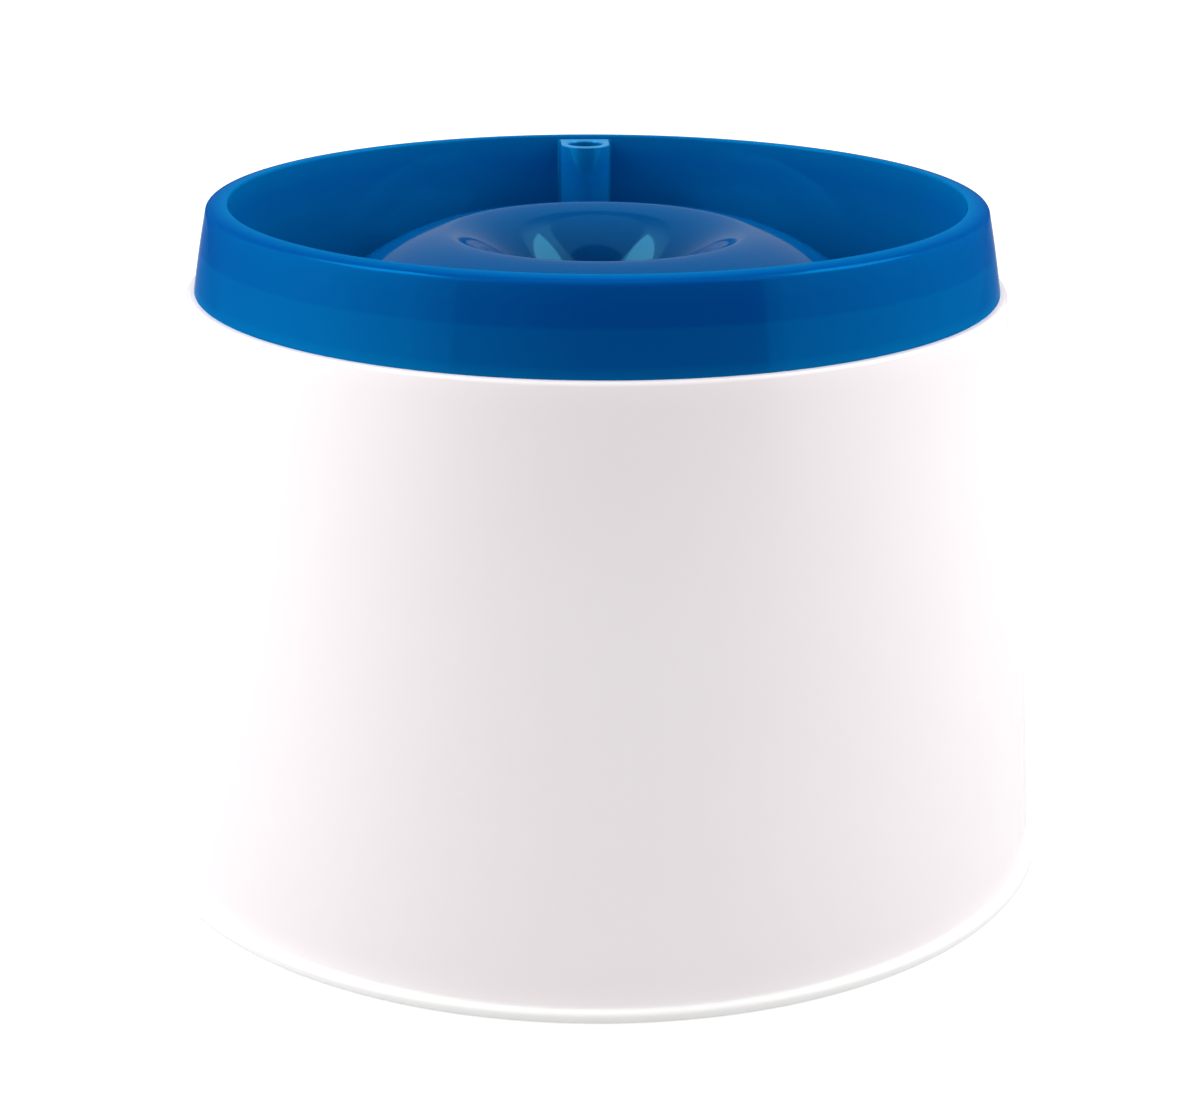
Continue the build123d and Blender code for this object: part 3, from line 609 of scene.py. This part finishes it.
def carbonGranules():
    # activated coconut carbon pressed to a block: 1.3 mm black grains, a few faces glinting
    material, shader = newMaterial("carbonGranules", {"IOR": 1.6})
    place = addNode(material, "TexCoord").outputs["Object"]
    grains = addNode(material, "TexVoronoi", {"Vector": place, "Scale": 1 / (1.3 * mm)})
    tone = addNode(material, "Mix", {0: grains.outputs["Color"], 6: paint("18181A"), 7: paint("3C3C40")},
                   data_type="RGBA")
    gloss = addNode(material, "MapRange", {"Value": grains.outputs["Color"], "To Min": 0.35, "To Max": 0.9})
    bump = addNode(material, "Bump", {"Height": grains.outputs["Distance"], "Strength": 1.0,
                                      "Distance": 0.5 * mm})
    bump.invert = True
    join(material, tone.outputs[2], shader, "Base Color")
    join(material, gloss.outputs[0], shader, "Roughness")
    join(material, bump.outputs[0], shader, "Normal")
    return material


def castEpoxy():
    # poured resin: a glossy skin that sank unevenly as it cured, over a fine mineral filler
    material, shader = newMaterial("castEpoxy", {"IOR": 1.56})
    place, _ = addGrain(material, shader, 7, 0.15, 0.16, 0.3)
    addTint(material, shader, place, 0.6, "14110F", "26221E")
    return material


def stackedSteel():
    # silicon-steel sheets half a millimetre thick, stamped and stacked: dark varnish between bright
    # cut edges; a wave's period is 2 pi over 20 times its scale
    material, shader = newMaterial("stackedSteel", {"Metallic": 1.0})
    place = addNode(material, "TexCoord").outputs["Object"]
    sheets = addNode(material, "TexWave", {"Vector": place, "Scale": 2 * pi / (20 * 0.5 * mm), "Distortion": 0.4,
                                           "Detail": 1.0}, bands_direction="Y")
    tone = addNode(material, "Mix", {0: sheets.outputs[1], 6: paint("3A3B3E"), 7: paint("B9BBC0")},
                   data_type="RGBA")
    gloss = addNode(material, "MapRange", {"Value": sheets.outputs[1], "To Min": 0.6, "To Max": 0.3})
    bump = addNode(material, "Bump", {"Height": sheets.outputs[1], "Strength": 1.0, "Distance": 0.05 * mm})
    join(material, tone.outputs[2], shader, "Base Color")
    join(material, gloss.outputs[0], shader, "Roughness")
    join(material, bump.outputs[0], shader, "Normal")
    return material


def enamelledWire():
    # layer-wound enamelled copper: side by side turns of 0.4 mm wire under a clear glossy varnish
    material, shader = newMaterial("enamelledWire", {"Metallic": 0.9, "Coat Weight": 0.6, "Coat Roughness": 0.1})
    place = addNode(material, "TexCoord").outputs["Object"]
    turns = addNode(material, "TexWave", {"Vector": place, "Scale": 2 * pi / (20 * 0.4 * mm), "Distortion": 0.3},
                    bands_direction="X")
    # painted shade in the grooves between the turns and a painted highlight on their crowns
    tone = addNode(material, "Mix", {0: turns.outputs[1], 6: paint("6E2F12"), 7: paint("D98A4E")},
                   data_type="RGBA")
    bump = addNode(material, "Bump", {"Height": turns.outputs[1], "Strength": 1.0, "Distance": 0.15 * mm})
    shader.inputs["Roughness"].default_value = 0.28
    join(material, tone.outputs[2], shader, "Base Color")
    join(material, bump.outputs[0], shader, "Normal")
    return material


def sinteredFerrite():
    # pressed and sintered ferrite: a dead dark grey with a sugary grain
    material, shader = newMaterial("sinteredFerrite", {"IOR": 1.9})
    place, _ = addGrain(material, shader, 0.35, 0.03, 0.5, 0.75)
    addTint(material, shader, place, 0.9, "242427", "3D3D41")
    return material


def groundSteel():
    # centreless-ground stainless rod: bright, with fine rings left round it by the wheel
    material, shader = newMaterial("groundSteel", {"Metallic": 1.0, "Base Color": paint("D3D4D7"),
                                                   "Anisotropic": 0.6})
    place = addNode(material, "TexCoord").outputs["Object"]
    stretch = addNode(material, "Mapping", {"Vector": place, "Scale": (1, 30, 1)})
    rings = addNode(material, "TexNoise", {"Vector": stretch.outputs[0], "Scale": 1 / (3 * mm), "Detail": 2.0})
    gloss = addNode(material, "MapRange", {"Value": rings.outputs[0], "From Min": 0.3, "From Max": 0.7,
                                           "To Min": 0.16, "To Max": 0.34})
    join(material, gloss.outputs[0], shader, "Roughness")
    return material


def clearSilicone():
    # milky silicone rubber: light passes through it and scatters, under a slightly greasy skin
    material, shader = newMaterial("clearSilicone", {
        "IOR": 1.41, "Transmission Weight": 0.55, "Subsurface Weight": 0.3, "Subsurface Scale": 2 * mm})
    place, _ = addGrain(material, shader, 1.2, 0.02, 0.3, 0.42)
    addTint(material, shader, place, 12, "DCE4E8", "E9EEF0")
    return material


blackAbs = mouldedPlastic("blackAbs", "1B1C1E", "222326", 0.42)
greyAbs = mouldedPlastic("greyAbs", "75797E", "7E8287", 0.4)
whiteCagePlastic = mouldedPlastic("whiteCagePolypropylene", "ECEEF0", "F2F3F4", 0.38, 0.15)
naturalNylon = mouldedPlastic("naturalNylon", "DBD6C4", "E6E2D3", 0.36, 0.3)
blackRubber = mouldedRubber("blackRubber", "222223", 0.6)
greyRubber = mouldedRubber("greyRubber", "C9CACB", 0.55)
print("inner materials made")


def softened(node, body, slot, material, width, angle=30):
    # the solid's own shape, with its sharp edges broken by a small round
    bm = bmesh.new()
    bm.from_mesh(nodes[node].data)
    bmesh.ops.remove_doubles(bm, verts=bm.verts, dist=2e-6)
    bmesh.ops.dissolve_limit(bm, angle_limit=radians(0.5), verts=bm.verts, edges=bm.edges)
    bmesh.ops.recalc_face_normals(bm, faces=bm.faces)
    sharp = [e for e in bm.edges if len(e.link_faces) == 2 and e.calc_face_angle(0) > radians(angle)]
    bmesh.ops.bevel(bm, geom=sharp, offset=width * mm, offset_type="OFFSET", segments=2, profile=0.5,
                    affect="EDGES", clamp_overlap=True, material=-1)
    words = node.split("_")
    name = words[0] + ("".join(word.title() for word in words[1:]) or "Piece")
    piece = pieceFrom(name, bm, material, angle)
    settle(piece, body, slot, node)
    return piece


softened("foot_pads", "stand", "foot_rubber", greyRubber, 0.35)
softened("filter_cage", "filter", "filter_white", whiteCagePlastic, 0.25)
softened("filter_lid", "filter", "filter_white", whiteCagePlastic, 0.25)
foam = softened("filter_foam", "filter", "filter_foam", openCellFoam(), 0.8)
softened("filter_carbon", "filter", "carbon", carbonGranules(), 0.6)
softened("pump_housing", "pump", "pump_black", blackAbs, 0.3)
softened("motor_potting", "pump", "epoxy", castEpoxy(), 0.2)
softened("stator_core", "pump", "lamination", stackedSteel(), 0.12)
softened("coil_bobbin", "pump", "nylon", naturalNylon, 0.12)
softened("stator_coil", "pump", "copper", enamelledWire(), 0.5)
softened("rotor_shaft", "pump", "shaft_steel", groundSteel(), 0.15)
softened("front_bush", "pump", "black_rubber", blackRubber, 0.15)
softened("rear_bush", "pump", "black_rubber", blackRubber, 0.15)
softened("thrust_washers", "pump", "nylon", naturalNylon, 0.08)
softened("rotor_magnet", "rotor", "ferrite", sinteredFerrite(), 0.25)
softened("impeller", "rotor", "pump_grey", greyAbs, 0.2)
softened("volute", "pump", "pump_black", blackAbs, 0.2)
softened("volute_seal", "pump", "black_rubber", blackRubber, 0.15)
softened("intake_cover", "pump", "pump_black", blackAbs, 0.3)
softened("flow_dial", "flow_dial", "pump_grey", greyAbs, 0.25)
silicone = clearSilicone()
softened("riser_nozzle", "pump", "clear_silicone", silicone, 0.25)
softened("cord_gland", "pump", "black_rubber", blackRubber, 0.3)
softened("suction_cups", "pump", "clear_silicone", silicone, 0.2)
print("feet, filter and pump made")


# Studio

studio = {
    "floorSize": 14.0, "floorTone": 0.5, "floorGlow": 0.8, "floorDim": 0.5, "worldTone": 0.835,
    "leftEnergy": 7.6, "rightEnergy": 6.1, "lampSize": 0.7, "lampPlace": (0.85, 0.05, 0.75),
    "lampAim": (0, 0, 0.12),
}
# flat cards that only gloss sees: glow, azimuth and elevation in degrees, distance and size in metres
cards = {
    "canopyCard": (0.04, 0, 90, 3.9, (4.4, 4.4)),  # keeps the world's white out of the ring's open top
    "overheadCard": (0.42, 180, 72, 3.3, (3.1, 3.1)),  # the sheen on faces that lean to the front
    "backCard": (0.5, 180, 34, 1.3, (2.2, 1.1)),  # the sheen on flat faces, such as the dome's crest
    "leftCore": (3.5, -98, 58, 1.25, (0.62, 0.44)),  # the two bright patches in the funnel
    "rightCore": (3.3, 103, 53, 1.25, (0.62, 0.44)),
}
# glow of the ring round the object, by azimuth in degrees, 0 at the front: dark there, bright at the sides
ring = {
    "radius": 1.5, "bottom": -0.02, "top": 3.4, "steps": 96, "peak": 1.5, "stops": [
        (-180, 0.1), (-160, 0.12), (-150, 0.3), (-127, 1.15), (-101, 1.45), (-80, 1.4), (-62, 1.05),
        (-51.5, 0.95), (-50, 0.78), (-46, 0.76), (-45, 0.64), (-41, 0.62), (-40, 0.36), (-28, 0.25),
        (-8, 0.02), (38, 0.02), (42.5, 0.1), (43.5, 0.42), (47, 0.44), (48, 0.6), (69, 0.78), (87, 1.0),
        (108, 1.15), (134, 1.0), (150, 0.3), (160, 0.12), (180, 0.1)],
}


def backgroundRays(owner):
    # 1 for rays that the camera sends, also through gloss and clear pieces
    path = addNode(owner, "LightPath")
    total = path.outputs["Is Camera Ray"]
    for name in ("Is Glossy Ray", "Is Transmission Ray"):
        total = addNode(owner, "Math", {0: total, 1: path.outputs[name]}, use_clamp=True).outputs[0]
    return total


def makeFloor():
    bm = bmesh.new()
    bmesh.ops.create_grid(bm, x_segments=1, y_segments=1, size=studio["floorSize"] / 2)
    material, shader = newMaterial("studioFloor", {
        "Base Color": (*[studio["floorTone"]] * 3, 1), "Roughness": 0.9, "Specular IOR Level": 0.0,
        "Emission Color": (1, 1, 1, 1)})
    full = addNode(material, "Math", {0: backgroundRays(material), 1: studio["floorGlow"]}, operation="MULTIPLY")
    # gloss sees the floor a little dimmer, which leaves white walls a thin outline
    gloss = addNode(material, "LightPath").outputs["Is Glossy Ray"]
    glow = addNode(material, "Math", {0: gloss, 1: -studio["floorDim"], 2: full.outputs[0]},
                   operation="MULTIPLY_ADD")
    join(material, glow.outputs[0], shader, "Emission Strength")
    pieceFrom("studioFloor", bm, material)


def makeWorld():
    # a grey that lights the object, and full white where the camera looks past it
    world = bpy.data.worlds.new("studio")
    bpy.context.scene.world = world
    world.use_nodes = True
    tone = addNode(world, "Mix", {0: backgroundRays(world), 2: studio["worldTone"], 3: 1.0})
    background = world.node_tree.nodes["Background"]
    background.inputs["Color"].default_value = (1, 1, 1, 1)
    join(world, tone.outputs[0], background, "Strength")


def glowMaterial(name, strength=1.0):
    material = bpy.data.materials.new(name)
    material.use_nodes = True
    material.node_tree.nodes.clear()
    glow = addNode(material, "Emission", {"Color": paint("FFFFFF"), "Strength": strength})
    addNode(material, "OutputMaterial", {"Surface": glow.outputs[0]})
    return material, glow


def glossOnly(piece):
    piece.visible_camera = piece.visible_diffuse = piece.visible_shadow = piece.visible_transmission = False


def cardRing():
    # a big upright drum round the object that only gloss sees
    bm = bmesh.new()
    first = [bm.verts.new((0, ring["radius"], z)) for z in (ring["bottom"], ring["top"])]
    edge = bm.edges.new(first)
    bmesh.ops.spin(bm, geom=first + [edge], cent=(0, 0, 0), axis=(0, 0, 1), angle=2 * pi, steps=ring["steps"],
                   use_merge=True)
    material, glow = glowMaterial("ringGlow")
    place = addNode(material, "TexCoord").outputs["Object"]
    flat = addNode(material, "SeparateXYZ", {0: place})
    depth = addNode(material, "Math", {0: flat.outputs[1], 1: -1.0}, operation="MULTIPLY")
    azimuth = addNode(material, "Math", {0: flat.outputs[0], 1: depth.outputs[0]}, operation="ARCTAN2")
    share = addNode(material, "MapRange", {"Value": azimuth.outputs[0], "From Min": -pi, "From Max": pi})
    ramp = addNode(material, "ValToRGB", {"Fac": share.outputs[0]})
    fillRamp(ramp, [((at + 180) / 360, (*[tone / ring["peak"]] * 3, 1)) for at, tone in ring["stops"]])
    strength = addNode(material, "Math", {0: ramp.outputs[0], 1: ring["peak"]}, operation="MULTIPLY")
    join(material, strength.outputs[0], glow, "Strength")
    glossOnly(pieceFrom("cardRing", bm, material))


def facingCard(name, glow, azimuth, elevation, distance, size):
    # a flat card that faces the object; azimuth 0 is the front
    bm = bmesh.new()
    bmesh.ops.create_grid(bm, x_segments=1, y_segments=1, size=0.5)
    bmesh.ops.scale(bm, verts=bm.verts, vec=(*size, 1))
    place = (Matrix.Rotation(radians(azimuth), 4, "Z") @ Matrix.Rotation(radians(90 - elevation), 4, "X")
             @ Matrix.Translation((0, 0, distance)))
    bmesh.ops.transform(bm, verts=bm.verts, matrix=place)
    material, _ = glowMaterial(name, glow)
    glossOnly(pieceFrom(name, bm, material))


def lamp(name, side, energy):
    data = bpy.data.lights.new(name, "AREA")
    data.shape = "SQUARE"
    data.size = studio["lampSize"]
    data.energy = energy
    piece = bpy.data.objects.new(name, data)
    bpy.context.scene.collection.objects.link(piece)
    x, y, z = studio["lampPlace"]
    piece.location = (side * x, y, z)
    aim = Vector(studio["lampAim"]) - piece.location
    piece.rotation_euler = aim.to_track_quat("-Z", "Y").to_euler()
    piece.visible_glossy = False


makeFloor()
makeWorld()
cardRing()
for name, values in cards.items():
    facingCard(name, *values)
lamp("leftLamp", -1, studio["leftEnergy"])
lamp("rightLamp", 1, studio["rightEnergy"])
print("studio made")


# Camera

camera = {
    "place": (-0.03068, -0.72905, 0.3295), "turn": -2.5, "dip": 18.49, "roll": 0.275,
    "lens": 76.74, "sensor": 36.0,
}


def makeCamera():
    data = bpy.data.cameras.new("camera")
    data.lens = camera["lens"]
    data.sensor_width = camera["sensor"]
    data.sensor_fit = "HORIZONTAL"
    piece = bpy.data.objects.new("camera", data)
    bpy.context.scene.collection.objects.link(piece)
    piece.matrix_world = (Matrix.Translation(camera["place"])
                          @ Matrix.Rotation(radians(camera["turn"]), 4, "Z")
                          @ Matrix.Rotation(radians(90 - camera["dip"]), 4, "X")
                          @ Matrix.Rotation(radians(camera["roll"]), 4, "Z"))
    bpy.context.scene.camera = piece


makeCamera()
bpy.context.scene.view_settings.view_transform = "Standard"
print("camera made")
